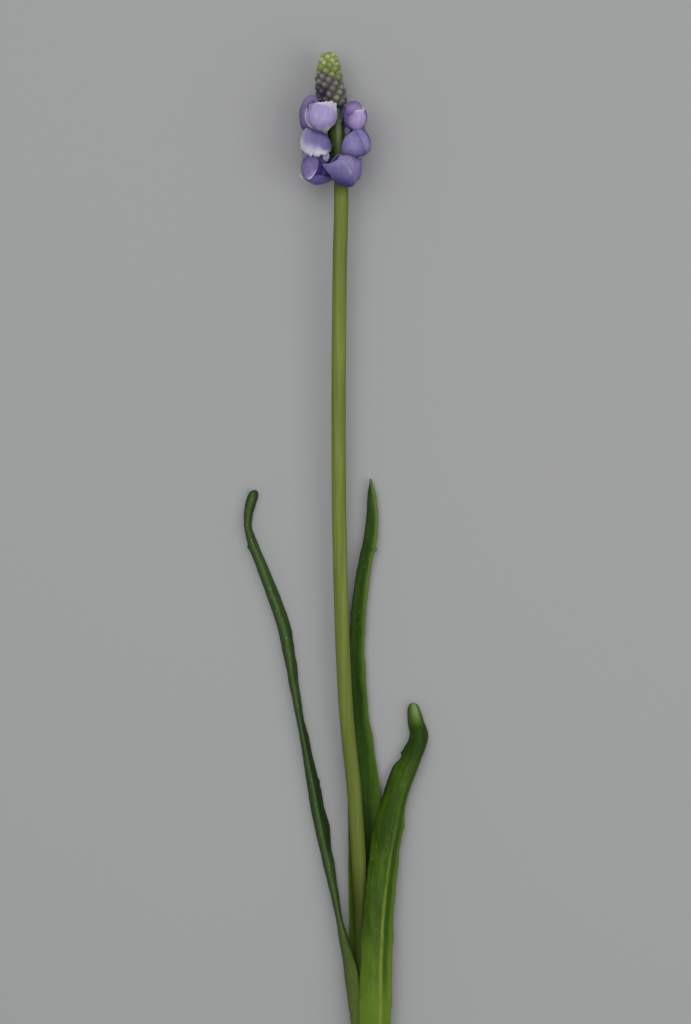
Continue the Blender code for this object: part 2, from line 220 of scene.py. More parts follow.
# Florets as centre x and y, height above the axis, radius, the way the mouth faces and the turn of
# the first petal. The first six, IN_VIEW, are the ones that the photograph shows.
FLORETS = (
    (-5.4, 255.4, 3.2, 4.4, (0.35, -0.90, 0.10), 0),
    (3.7, 254.4, 2.9, 4.0, (0.30, -0.90, 0.10), 50),
    (-6.3, 247.9, 2.6, 4.3, (0.05, -0.95, 0.10), 0),
    (4.3, 247.6, 3.0, 4.3, (0.15, -0.95, 0.20), -35),
    (-6.7, 240.6, 2.0, 4.2, (0.55, -0.50, 0.60), -75),
    (0.5, 240.3, 4.6, 4.6, (-0.30, -0.80, 0.35), 25),
    (-6.0, 251.6, -2.6, 4.1, (-0.40, -0.90, -0.20), 75),
    (-5.9, 244.3, -2.6, 4.1, (-0.40, -0.90, -0.20), 40),
    (-0.9, 255.4, -5.2, 3.9, (0.00, -0.90, -0.30), 100),
    (-0.6, 248.2, -5.2, 4.0, (-0.05, -0.90, -0.30), 140),
    (0.2, 241.2, -5.2, 3.9, (0.10, -0.90, -0.30), 60),
    (3.1, 251.4, -2.3, 4.0, (0.40, -0.90, -0.20), 160),
    (2.8, 244.3, -2.7, 3.7, (0.40, -0.90, -0.20), 20),
    (3.0, 239.8, -0.6, 2.8, (0.50, -0.80, 0.00), 0),
)
IN_VIEW = 6
FLOWER_STALK_RADIUS = 0.65
FLOWER_STALK_FLARE = 0.55
FLOWER_STALK_LEAST = 2.4
FLOWER_STALK_HOLD = 0.9  # how far it reaches into its floret
FLOWER_STALK_DROP = 1.0  # how much nearer the foot it starts than its floret lies


def flower_stalk(x, y, height, radius):
    """A short stalk from the axis into a floret's closed end, a little thicker where it starts."""
    root_x, root_z = follow(STALK_LINE, y - FLOWER_STALK_DROP)
    root = Vector((root_x, y - FLOWER_STALK_DROP, root_z))
    centre = Vector((x, y, root_z + height))
    way = centre - root
    reach = max(way.length - radius + FLOWER_STALK_HOLD, FLOWER_STALK_LEAST)
    way.normalize()
    side = way.cross(Vector((0, 1, 0))).normalized()
    other = way.cross(side)

    def place(turn, share):
        thick = FLOWER_STALK_RADIUS + FLOWER_STALK_FLARE * (1 - share) ** 2
        middle = root + way * reach * (0.2 + 0.8 * share)
        return middle + (side * math.cos(turn) + other * math.sin(turn)) * thick

    made = raise_tube("flower_stalk", 14, 8)
    shape_tube(made, 8, place, lambda turn, share: (0.5 + turn / (2 * math.pi), 0.93 + 0.05 * share))
    face_outwards(made, 60)
    return made


stalk = join("stalk", [rod] + [flower_stalk(*row[:4]) for row in FLORETS])


def linear(red, green, blue):
    """A colour as a screen shows it, 0 to 255, turned into amounts of light."""
    return tuple(((c / 255 + 0.055) / 1.055) ** 2.4 for c in (red, green, blue)) + (1.0,)


class Value:
    """A number inside a material, so that shader maths is written as plain sums."""

    def __init__(self, paint, socket):
        self.paint = paint
        self.socket = socket

    def work(self, operation, first, second):
        return self.paint.node("Math", {"operation": operation}, {0: first, 1: second})

    def __add__(self, other):
        return self.work("ADD", self, other)

    def __radd__(self, other):
        return self.work("ADD", other, self)

    def __sub__(self, other):
        return self.work("SUBTRACT", self, other)

    def __rsub__(self, other):
        return self.work("SUBTRACT", other, self)

    def __mul__(self, other):
        return self.work("MULTIPLY", self, other)

    def __rmul__(self, other):
        return self.work("MULTIPLY", other, self)

    def __pow__(self, other):
        return self.work("POWER", self, other)


class Paint:
    """A material being mixed from nodes."""

    def __init__(self, name, roughness, gloss):
        self.material = bpy.data.materials.new(name)
        self.material.use_nodes = True
        self.tree = self.material.node_tree
        self.shader = self.tree.nodes["Principled BSDF"]
        self.shader.inputs["Roughness"].default_value = roughness
        self.shader.inputs["Specular IOR Level"].default_value = gloss
        self.place = self.node("TexCoord", output="Object")

    def node(self, kind, settings=None, inputs=None, output=0):
        made = self.tree.nodes.new("ShaderNode" + kind)
        for key, value in (settings or {}).items():
            setattr(made, key, value)
        for key, value in (inputs or {}).items():
            if isinstance(value, Value):
                self.tree.links.new(value.socket, made.inputs[key])
            else:
                made.inputs[key].default_value = value
        return Value(self, made.outputs[output])

    def end(self, socket, value):
        self.tree.links.new(value.socket, self.shader.inputs[socket])

    def mix(self, amount, first, second):
        """The first colour where amount is 0 and the second where it is 1."""
        return self.node("Mix", {"data_type": "RGBA"}, {0: amount, 6: first, 7: second}, 2)

    def between(self, value, low, high):
        """Rises smoothly from 0 at low to 1 at high."""
        return self.node(
            "MapRange", {"interpolation_type": "SMOOTHSTEP"}, {0: value, 1: low, 2: high}
        )

    def speckle(self, scale, detail, stretch=None):
        """Noise through the piece, with scale features to a metre, drawn out by stretch."""
        place = self.place
        if stretch:
            place = self.node("Mapping", None, {"Vector": place, "Scale": stretch})
        return self.node("TexNoise", None, {"Vector": place, "Scale": scale, "Detail": detail})

    def bump(self, height, depth, strength):
        made = self.node("Bump", None, {"Height": height, "Distance": depth, "Strength": strength})
        self.end("Normal", made)


def stalk_green():
    paint = Paint("stalk_green_skin", 0.5, 0.12)
    along = paint.node("SeparateXYZ", None, {0: paint.place}, "Y")
    across = paint.node("SeparateXYZ", None, {0: paint.place}, "X")
    fibres = paint.speckle(900.0, 2.0, (1.0, 0.03, 1.0))
    blotches = paint.speckle(90.0, 3.0, (1.0, 0.4, 1.0))
    body = paint.mix(paint.between(fibres, 0.35, 0.7), linear(96, 109, 42), linear(112, 124, 58))
    body = paint.mix(paint.between(blotches, 0.45, 0.8) * 0.35, body, linear(84, 98, 36))
    low = paint.between(along * -1.0, -0.03, 0.08)
    body = paint.mix(low * 0.45, body, linear(70, 80, 24))
    high = paint.between(along, 0.05, 0.09)
    body = paint.mix(high * 0.4, body, linear(76, 90, 34))
    # Painted light on the axis among the florets: dark green sides are painted shade between the
    # flower stalks, with a lighter painted highlight stripe down its middle.
    axis_highlight = paint.between(across, -0.0001, 0.0006) * (1.0 - paint.between(across, 0.0013, 0.0018))
    axis_highlight = axis_highlight * paint.between(along, 0.107, 0.116)
    axis_shade_and_highlight = paint.mix(axis_highlight, linear(54, 72, 24), linear(104, 120, 78))
    body = paint.mix(paint.between(along, 0.096, 0.102), body, axis_shade_and_highlight)
    # Painted shade: the stalk darkens towards its foot, where it runs down in the shade between the
    # leaves.
    foot = paint.between(along * -1.0 + (blotches - 0.5) * 0.01, 0.080, 0.098)
    body = paint.mix(foot * 0.9, body, linear(46, 56, 11))
    pits = paint.between(paint.speckle(700.0, 0.0), 0.76, 0.82)
    body = paint.mix(pits * 0.25, body, linear(70, 84, 30))
    paint.end("Base Color", body)
    paint.bump(fibres, 0.00006, 0.5)
    return paint.material


stalk.data.materials.append(stalk_green())
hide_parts("flower_stem")
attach(stalk, "root")


# Open florets
# Each floret is a small hanging bell of broad petals that overlap and part at its mouth. They are thin
# and satiny, lilac to deep violet, with pale worn rims, and grow from their flower stalks. Part of the
# deep violet is painted shade on inner and shaded petals, and bare rims carry a painted shadow line.
FRONT_PETAL_THICKNESS = 0.3
FRONT_PETAL_CELLS = 34
PETAL_THICKNESS = 0.38
PETAL_CREASE = 50
FRONT_HEART_INSET = 1.25  # how much smaller than its floret the dim inside is
FRONT_HEART_BACK = 0.2
BELL_HEART_INSET = 0.95
BELL_HEART_BACK = 0.55
BELL_PETAL_DEPTHS = (0.0, 0.35, 0.7)
BELL_PETAL_TILT = 62


def petal_sheet(cells):
    """A sheet for a petal, and where each of its points lies in a round outline."""
    bpy.ops.object.select_all(action="DESELECT")
    bpy.ops.mesh.primitive_grid_add(
        x_subdivisions=cells, y_subdivisions=cells, size=2, location=(0, 0, 0)
    )
    made = bpy.context.object
    mesh = made.data
    flat = []
    for point in mesh.vertices:
        x = point.co.x * math.sqrt(1 - point.co.y**2 / 2)
        y = point.co.y * math.sqrt(1 - point.co.x**2 / 2)
        flat.append((x, y))
    while mesh.uv_layers:
        mesh.uv_layers.remove(mesh.uv_layers[0])
    layer = mesh.uv_layers.new(name="surface")
    for loop in mesh.loops:
        x, y = flat[loop.vertex_index]
        layer.data[loop.index].uv = (0.5 + x / 2, 0.5 + y / 2)
    return made, flat


def tint(made, tones):
    """Stores for every point how pale, how white at the rim and how pink its petal is."""
    layer = made.data.attributes.new("tone", "FLOAT_COLOR", "POINT")
    layer.data.foreach_set("color", [value for tone in tones for value in (*tone, 1.0)])


def thicken(made, thickness):
    """Gives a petal's sheet its thickness, on the inside."""
    solidify = made.modifiers.new("thickness", "SOLIDIFY")
    solidify.thickness = thickness * MM
    solidify.offset = -1.0
    bpy.ops.object.modifier_apply(modifier=solidify.name)
    face_outwards(made, PETAL_CREASE)


def petal(centre, radius, facing, tip, half_length, half_width, lift, fray, tone, cells):
    """A cupped petal: a sheet bent over a ball, round in outline, with its rim lifted and worn.

    tone is how pale, how white at the rim and how pink it is, each from 0 to 1."""
    made, flat = petal_sheet(cells)
    facing = Vector(facing).normalized()
    tip = Vector(tip)
    length = (tip - facing * tip.dot(facing)).normalized()
    width = facing.cross(length)
    seed = Vector((centre[0], centre[1], 7.0 * tone[0] + 3.0 * facing[0]))
    for point, (x, y) in zip(made.data.vertices, flat):
        part = math.hypot(x, y)
        turn = math.atan2(y, x)
        reach = 1 / math.hypot(math.cos(turn) / half_length, math.sin(turn) / half_width)
        wave = noise.noise(seed + Vector((1.5 * math.cos(turn), 1.5 * math.sin(turn), 0)))
        worn = noise.noise(seed + Vector((9 * math.cos(turn), 9 * math.sin(turn), 4)))
        worn *= max(0.0, math.cos(turn)) * part**6
        angle = math.radians(reach) * part * (1 + 0.08 * wave + fray * worn)
        away = facing * math.cos(angle)
        away += (length * math.cos(turn) + width * math.sin(turn)) * math.sin(angle)
        ripple = noise.noise(seed + Vector((2 * x, 2 * y, 9))) * 0.22 * (0.3 + part)
        fold = -0.18 * math.exp(-((y / 0.10) ** 2)) * max(0.0, 1 - abs(x))
        out = radius + lift * part**3 + ripple + fold
        spot = Vector(centre) + away * out
        spot.z = max(spot.z, 0.0)
        point.co = spot * MM + FOOT
    tint(made, [tone] * len(flat))
    thicken(made, PETAL_THICKNESS)
    return made


def heart(centre, radius, tone):
    """The dim inside of a bell, seen where its petals part."""
    bpy.ops.object.select_all(action="DESELECT")
    bpy.ops.mesh.primitive_uv_sphere_add(
        segments=24, ring_count=14, radius=radius * MM, location=(0, 0, 0)
    )
    made = bpy.context.object
    while made.data.uv_layers:
        made.data.uv_layers.remove(made.data.uv_layers[0])
    layer = made.data.uv_layers.new(name="surface")
    for corner in layer.data:
        corner.uv = (0.5, 0.5)
    for point in made.data.vertices:
        crease = 1 + 0.05 * noise.noise(point.co * 900.0)
        point.co = point.co * crease + Vector(centre) * MM + FOOT
        point.co.z = max(point.co.z, 0.0)
    tint(made, [tone] * len(made.data.vertices))
    face_outwards(made, PETAL_CREASE)
    return made


def bell(x, y, height, radius, mouth, turn):
    """A plain floret: its heart and three petals, each lying a little deeper than the last."""
    centre = Vector((x, y, follow(STALK_LINE, y)[1] + height))
    mouth = Vector(mouth).normalized()
    up = (Vector((0, 0, 1)) - mouth * mouth.z).normalized()
    side = mouth.cross(up)
    tilt = math.radians(BELL_PETAL_TILT)
    inside = centre - mouth * BELL_HEART_BACK
    pieces = [heart(inside, radius - BELL_HEART_INSET, (0.1, 0.0, 0.0))]
    for k, deep in enumerate(BELL_PETAL_DEPTHS):
        a = math.radians(turn + 120 * k)
        outward = up * math.cos(a) + side * math.sin(a)
        facing = outward * math.sin(tilt) - mouth * math.cos(tilt)
        pale = 0.45 + 0.2 * math.sin(5 * x + 3 * k)
        tone = (pale, 0.35, 0.25)
        pieces.append(petal(centre, radius - deep, facing, mouth, 70, 64, 0.35, 0.08, tone, 20))
    return pieces


# The petals of the six florets in view. Each has its crown as x, y, height above the surface and how
# pale it is there, how bluntly it bends down to its rim, how worn the rim is, how pink the petal is,
# and its rim as points of x, y, height, how pale and how white it is there.
# How pale a spot is holds both the petal's own lilac to deep violet and painted shade: inner petals
# and facets turned from the light are set darker.
FRONT_PETALS = (
    # upper left, outer petal
    ((-9.1, 254.9, 14.1, 0.33), 0.6, 0.03, 0.5, (
        (-6.6, 260.1, 11.4, 0.45, 0), (-8.5, 260.4, 10.8, 0.55, 0.2), (-10.0, 258.8, 10.9, 0.45, 0.15),
        (-10.9, 256.3, 11.0, 0.3, 0), (-10.9, 253.7, 10.9, 0.2, 0), (-10.3, 251.5, 10.7, 0.1, 0),
        (-8.6, 251.0, 11.2, 0.1, 0), (-6.7, 251.7, 13.8, 0.1, 0), (-5.8, 254.5, 13.8, 0.2, 0),
        (-5.7, 257.8, 13.8, 0.35, 0),
    )),
    # upper left, second petal
    ((-7.1, 253.9, 15.7, 0.75), 0.7, 0.04, 0.55, (
        (-6.4, 258.2, 15.1, 0.5, 0.2), (-8.2, 257.8, 14.4, 0.7, 0.5), (-9.3, 256.1, 14.0, 0.8, 0.7),
        (-9.6, 254.5, 13.7, 0.75, 0.8), (-9.1, 252.8, 13.3, 0.6, 1), (-7.9, 251.4, 12.7, 0.5, 1),
        (-6.3, 250.4, 12.0, 0.4, 1), (-4.4, 249.9, 11.7, 0.3, 0.9), (-3.2, 251.0, 12.1, 0.3, 0.4),
        (-3.2, 254.5, 15.5, 0.3, 0), (-4.7, 257.4, 15.5, 0.4, 0),
    )),
    # upper left, front petal
    ((-4.5, 254.4, 17.0, 0.93), 0.62, 0.035, 0.25, (
        (-6.7, 258.0, 15.9, 0.8, 0.7), (-4.7, 258.4, 15.8, 0.9, 1.1), (-2.5, 258.6, 14.2, 1.1, 1.5),
        (-1.1, 258.0, 12.6, 1.2, 1.6), (-0.9, 256.4, 13.8, 1.1, 1), (-0.7, 255.0, 12.8, 1.05, 0.8),
        (-1.1, 253.1, 12.8, 0.85, 0.4), (-2.2, 251.8, 13.4, 0.8, 0.6), (-3.4, 250.7, 12.7, 0.7, 1),
        (-4.5, 250.4, 12.7, 0.6, 1), (-6.0, 250.9, 14.2, 0.7, 0.6), (-7.2, 252.0, 15.3, 0.75, 0.5),
        (-8.0, 253.5, 15.8, 0.8, 0.4), (-8.2, 255.2, 16.1, 0.85, 0.3), (-7.8, 256.8, 16.0, 0.8, 0.3),
    )),
    # upper right, inner petal
    ((2.5, 253.4, 14.8, 0.35), 0.7, 0.02, 0.15, (
        (1.5, 257.6, 13.0, 0.1, 0), (1.1, 255.8, 14.2, 0.05, 0), (1.0, 253.7, 14.4, 0.05, 0),
        (1.7, 252.0, 14.1, 0.02, 0), (2.9, 250.9, 13.5, 0.02, 0), (4.4, 250.7, 13.4, 0.05, 0),
        (5.2, 252.6, 14.6, 0.05, 0), (5.2, 255.2, 14.6, 0.1, 0), (3.5, 257.3, 14.3, 0.1, 0),
    )),
    # upper right, top petal
    ((3.5, 256.8, 15.2, 0.5), 0.6, 0.05, 0.6, (
        (1.3, 257.6, 13.3, 0.2, 0.1), (2.5, 258.7, 11.9, 0.3, 0.4), (4.1, 258.9, 11.9, 0.4, 0.5),
        (5.7, 257.9, 13.2, 0.45, 0.4), (6.6, 256.4, 14.2, 0.5, 0.8), (5.5, 255.5, 14.9, 0.6, 1),
        (4.1, 255.5, 14.9, 0.5, 0.8), (3.1, 254.4, 14.9, 0.25, 0.2), (2.2, 254.8, 14.9, 0.15, 0),
        (1.5, 256.0, 14.9, 0.1, 0),
    )),
    # upper right, front petal
    ((4.9, 253.9, 16.0, 0.85), 0.6, 0.02, 0.65, (
        (3.3, 255.3, 15.7, 0.4, 0.2), (4.4, 256.1, 15.7, 0.9, 0.9), (6.0, 256.2, 15.2, 0.9, 0.7),
        (6.9, 254.9, 14.9, 0.8, 0.2), (7.0, 253.4, 14.7, 0.6, 0), (6.4, 251.9, 14.3, 0.5, 0),
        (5.2, 250.8, 13.9, 0.45, 0), (3.6, 250.9, 14.6, 0.3, 0), (2.1, 252.2, 15.3, 0.15, 0),
        (1.9, 254.1, 15.7, 0.1, 0),
    )),
    # middle left, front petal
    ((-6.5, 248.5, 16.0, 0.3), 0.6, 0.045, 0.05, (
        (-9.1, 251.6, 11.9, 0.75, 0.6), (-10.2, 249.8, 13.2, 0.8, 0.6),
        (-10.6, 247.8, 13.3, 0.95, 0.9), (-10.5, 246.0, 11.9, 1, 1.9), (-9.2, 244.6, 13.1, 1.1, 2.3),
        (-7.5, 243.7, 13.0, 1.1, 2.4), (-5.8, 243.9, 13.8, 1.1, 2.3), (-4.5, 244.2, 13.7, 1, 1.9),
        (-3.5, 244.6, 13.1, 0.7, 1.1), (-2.2, 245.7, 11.9, 0.45, 0.3), (-2.6, 247.8, 14.2, 0.3, 0),
        (-3.7, 249.3, 15.0, 0.1, 0), (-5.7, 250.3, 15.3, 0, 0), (-7.6, 250.9, 14.7, 0.15, 0.1),
    )),
    # middle left, torn lobe
    ((-3.8, 243.7, 12.7, 1.1), 0.8, 0.05, 0, (
        (-4.7, 244.1, 12.4, 1, 1.4), (-3.9, 245.1, 12.4, 0.6, 0.6), (-3.0, 244.6, 12.4, 0.8, 1),
        (-3.0, 243.3, 12.2, 1, 1.5), (-3.7, 242.5, 12.0, 1, 2), (-4.4, 243.1, 12.4, 1, 2),
    )),
    # middle right, outer petal
    ((6.1, 247.8, 15.6, 0.5), 0.6, 0.02, 0.2, (
        (3.3, 250.7, 14.7, 0.3, 0), (4.7, 251.3, 14.2, 0.45, 0.1), (6.2, 250.8, 14.2, 0.5, 0.1),
        (7.4, 249.2, 14.5, 0.5, 0), (8.1, 247.3, 14.1, 0.45, 0.1), (8.3, 245.8, 13.0, 0.4, 0.2),
        (7.6, 244.7, 12.9, 0.4, 0.3), (6.8, 244.3, 13.6, 0.1, 0), (5.2, 244.7, 14.8, 0.05, 0),
        (4.1, 247.2, 15.3, 0.05, 0),
    )),
    # middle right, front petal
    ((3.3, 246.5, 16.4, 0.52), 0.68, 0.015, 0.05, (
        (2.7, 250.1, 15.6, 0.5, 0.1), (4.1, 250.6, 15.6, 0.35, 0), (5.3, 248.7, 16.1, 0.3, 0),
        (6.1, 246.8, 16.1, 0.3, 0), (6.8, 244.7, 14.8, 0.15, 0), (5.5, 243.7, 14.4, 0.1, 0),
        (3.8, 243.3, 13.8, 0.15, 0), (2.0, 243.8, 13.6, 0.35, 0), (0.5, 244.2, 12.3, 0.4, 0.1),
        (0.2, 245.8, 13.4, 0.4, 0), (0.8, 247.9, 15.2, 0.45, 0), (1.7, 249.3, 15.6, 0.5, 0.1),
    )),
    # lower left, inner petal
    ((-4.4, 240.9, 12.6, 0.02), 0.8, 0.02, 0.1, (
        (-6.6, 243.7, 12.4, 0.08, 0), (-4.7, 244.0, 12.0, 0.08, 0), (-4.0, 242.8, 12.4, 0.08, 0),
        (-3.2, 240.7, 12.4, 0.05, 0), (-2.2, 238.5, 9.9, 0.05, 0), (-4.1, 237.6, 12.0, 0, 0),
        (-6.1, 238.1, 12.4, 0, 0), (-7.0, 240.6, 12.4, 0, 0),
    )),
    # lower left, bottom petal
    ((-6.1, 237.6, 13.9, 0.08), 0.6, 0.02, 0.15, (
        (-11.0, 239.4, 12.0, 0.4, 0.8), (-9.5, 238.9, 13.6, 0.3, 0.1), (-7.2, 239.0, 13.6, 0.2, 0),
        (-5.8, 238.9, 13.6, 0.15, 0), (-3.8, 238.5, 13.4, 0.15, 0), (-1.9, 238.5, 10.5, 0.15, 0.2),
        (-2.6, 237.1, 10.4, 0.2, 0.5), (-4.1, 236.4, 10.6, 0.15, 0.6), (-6.2, 236.1, 10.9, 0.15, 0.6),
        (-8.2, 236.5, 12.1, 0.2, 0.8), (-10.1, 237.6, 11.5, 0.25, 0.9),
    )),
    # lower left, front petal
    ((-8.2, 240.9, 15.0, 0.25), 0.6, 0.03, 0.4, (
        (-9.7, 243.4, 13.0, 0.15, 0.1), (-7.9, 243.8, 13.9, 0.2, 0), (-6.1, 243.5, 14.3, 0.1, 0),
        (-5.7, 242.0, 14.8, 0.1, 0), (-6.1, 240.4, 14.8, 0.25, 0.2), (-6.9, 238.9, 14.8, 0.65, 0.6),
        (-8.2, 237.6, 14.0, 0.6, 0.8), (-9.6, 238.3, 13.5, 0.45, 0.4), (-10.3, 239.9, 13.6, 0.35, 0.1),
        (-10.3, 242.0, 13.4, 0.3, 0),
    )),
    # lower right, outer petal
    ((4.1, 241.1, 16.1, 0.42), 0.6, 0.03, 0.4, (
        (1.2, 244.0, 15.8, 0.4, 0.2), (2.9, 243.9, 15.0, 0.5, 0.3), (4.7, 243.4, 13.0, 0.5, 0.1),
        (5.8, 242.9, 12.6, 0.45, 0.1), (5.9, 241.0, 12.9, 0.4, 0), (5.6, 238.8, 13.0, 0.35, 0.1),
        (4.8, 237.3, 13.0, 0.3, 0.2), (3.5, 237.3, 15.4, 0.2, 0), (1.7, 239.9, 15.8, 0.2, 0),
    )),
    # lower right, middle petal
    ((2.5, 240.4, 17.4, 0.5), 0.7, 0.04, 0.35, (
        (-0.6, 243.3, 16.6, 0.45, 0.3), (1.2, 244.0, 16.2, 0.5, 0.3), (2.8, 243.5, 16.1, 0.6, 0.4),
        (3.8, 241.7, 16.4, 0.6, 0.4), (4.6, 239.6, 15.9, 0.5, 0.3), (4.8, 237.9, 13.5, 0.4, 0.2),
        (3.9, 236.3, 13.3, 0.3, 0.2), (1.7, 236.7, 16.1, 0.3, 0), (-0.0, 239.3, 17.2, 0.3, 0),
    )),
    # lower right, front petal
    ((-0.1, 239.7, 18.0, 0.24), 0.65, 0.03, 0.08, (
        (-4.8, 241.9, 12.7, 0.7, 0.6), (-3.7, 241.7, 15.0, 0.6, 0.4), (-1.8, 242.1, 17.1, 0.6, 0.2),
        (-0.4, 242.8, 17.3, 0.6, 0.2), (1.3, 242.2, 17.7, 0.55, 0.3), (2.5, 240.4, 17.7, 0.5, 0.4),
        (3.3, 238.7, 17.1, 0.4, 0.35), (4.1, 236.8, 13.8, 0.2, 0.1), (2.9, 235.6, 13.7, -0.05, 0),
        (0.9, 235.7, 14.8, -0.1, 0), (-1.0, 236.4, 15.7, -0.1, 0), (-2.1, 237.7, 16.4, 0.05, 0.1),
        (-3.4, 239.6, 16.0, 0.35, 0.3), (-4.4, 241.0, 13.6, 0.6, 0.5),
    )),
)


def draped_petal(crown, bend, fray, pink, rim):
    """A petal that bulges from an outline of its own, drawn as a smooth closed curve."""
    made, flat = petal_sheet(FRONT_PETAL_CELLS)
    top = Vector(crown[:3])
    turns = [math.atan2(row[1] - top.y, row[0] - top.x) % (2 * math.pi) for row in rim]
    order = sorted(range(len(rim)), key=lambda i: turns[i])
    rows = [(turns[i], *rim[i]) for i in order]
    full = 2 * math.pi
    before = [(row[0] - full, *row[1:]) for row in rows[-2:]]
    rows = before + rows + [(row[0] + full, *row[1:]) for row in rows[:2]]
    tones = []
    for point, (x, y) in zip(made.data.vertices, flat):
        part = math.hypot(x, y)
        turn = math.atan2(y, x) % full
        edge_x, edge_y, edge_z, pale, white = follow(rows, turn)
        worn = noise.noise(top + Vector((7 * math.cos(turn), 7 * math.sin(turn), 4)))
        worn += 0.5 * noise.noise(top + Vector((19 * math.cos(turn), 19 * math.sin(turn), 8)))
        out = part * (1 + fray * worn * part**5 * (0.4 + 1.6 * white))
        fall = 1 - max(0.0, 1 - part * part) ** bend
        ripple = noise.noise(top + Vector((2.2 * x, 2.2 * y, 9))) * 0.18
        spot = top + (Vector((edge_x, edge_y, top.z)) - top) * out
        spot.z = top.z + (edge_z - top.z) * fall + ripple
        point.co = spot * MM + FOOT
        tones.append((crown[3] + (pale - crown[3]) * part**1.5, max(0.0, white), pink))
    tint(made, tones)
    thicken(made, FRONT_PETAL_THICKNESS)
    return made


pieces = [draped_petal(*row) for row in FRONT_PETALS]
for x, y, height, radius, mouth, turn in FLORETS[:IN_VIEW]:
    middle = Vector((x, y, follow(STALK_LINE, y)[1] + height))
    back = Vector(mouth).normalized() * -FRONT_HEART_BACK
    pieces.append(heart(middle + back, radius - FRONT_HEART_INSET, (0.0, 0.0, 0.0)))
    tone = (0.3, 0.2, 0.2)
    for low in ((0.0, 0.3, -1.0), (math.copysign(0.85, x), 0.1, -0.25)):
        pieces.append(petal(middle, radius - 0.35, low, mouth, 68, 52, 0.1, 0.06, tone, 18))
for row in FLORETS[IN_VIEW:]:
    pieces += bell(*row)
florets = join("florets", pieces)


def petal_violet():
    paint = Paint("petal_violet_satin", 0.55, 0.2)
    tone = paint.node("Attribute", {"attribute_name": "tone"})
    pale = paint.node("SeparateColor", None, {0: tone}, 0)
    white = paint.node("SeparateColor", None, {0: tone}, 1)
    pink = paint.node("SeparateColor", None, {0: tone}, 2)
    sheet = paint.node("UVMap", {"uv_map": "surface"})
    length = paint.node("SeparateXYZ", None, {0: sheet}, 0)
    width = paint.node("SeparateXYZ", None, {0: sheet}, 1)
    off = (length - 0.5) ** 2.0 + (width - 0.5) ** 2.0
    rim = off ** 0.5 * 2.0
    veins = paint.speckle(1500.0, 2.0, (1.0, 0.22, 0.5))
    clouds = paint.speckle(420.0, 3.0)
    grain = paint.speckle(2600.0, 1.0)
    deep = paint.mix(pink, linear(52, 45, 100), linear(76, 58, 104))
    fair = paint.mix(pink, linear(150, 144, 186), linear(166, 142, 184))
    body = paint.mix(pale + (clouds - 0.5) * 0.35, deep, fair)
    body = paint.mix(paint.between(veins, 0.48, 0.75) * 0.2, body, linear(78, 68, 134))
    edge = paint.between(rim + (clouds - 0.5) * 0.22 + (grain - 0.5) * 0.2, 1.0 - white * 0.31, 1.03)
    body = paint.mix(edge * paint.node("Clamp", None, {0: white}), body, linear(202, 200, 204))
    bare = paint.node("Clamp", None, {0: 1.0 - white})
    # Painted shadow: a dark line along each petal's rim where it is not white.
    line = paint.between(rim, 0.93, 1.0) * bare
    body = paint.mix(line * 0.45, body, linear(40, 32, 80))
    paint.end("Base Color", body)
    paint.bump(veins, 0.00012, 0.5)
    return paint.material


florets.data.materials.append(petal_violet())
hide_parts("open_florets")
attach(florets, "root")


# Closed buds
# Above the open florets small closed buds press together in spirals on their core. They are matt,
# olive grey and grey violet, with the lower buds on the left painted dark grey violet, their own
# violet deepened by painted shade, and have grown on with the stalk.
BUD_CONE = (
    (257.5, -1.5, 9.2, 2.7),
    (259.3, -2.0, 9.2, 4.1),
    (261.5, -2.4, 9.3, 4.15),
    (264.5, -2.8, 9.3, 3.8),
    (268.0, -3.0, 9.2, 3.25),
    (270.5, -3.0, 9.1, 2.6),
    (272.2, -2.9, 9.0, 1.6),
)
GOLDEN_ANGLE = math.pi * (3 - math.sqrt(5))
CORE_INSET = 1.0
CONE_SHIFT = 0.1
BUD_SINK = 0.3  # how far the buds stand inside the cone's outline
BUD_LENGTH = 1.12
BUD_SEAM = 0.07
BUD_TAPER = 0.22
BUD_LEAN = 0.35


def one_bud():
    """A closed bud: an egg with six shallow seams that meet at its tip."""
    bpy.ops.object.select_all(action="DESELECT")
    bpy.ops.mesh.primitive_uv_sphere_add(segments=18, ring_count=10, radius=1.0, location=(0, 0, 0))
    made = bpy.context.object
    made.data.uv_layers[0].name = "surface"
    for corner in made.data.loops:
        up = (made.data.vertices[corner.vertex_index].co.z + 1) / 2
        made.data.uv_layers[0].data[corner.index].uv = (0.5, up)
    for point in made.data.vertices:
        turn = math.atan2(point.co.y, point.co.x)
        up = (point.co.z + 1) / 2
        seam = 1 - BUD_SEAM * up * (0.5 + 0.5 * math.cos(6 * turn)) ** 3
        narrow = 1 - BUD_TAPER * up**3
        point.co = (point.co.x * seam * narrow, point.co.y * seam * narrow, point.co.z * BUD_LENGTH)
    return made


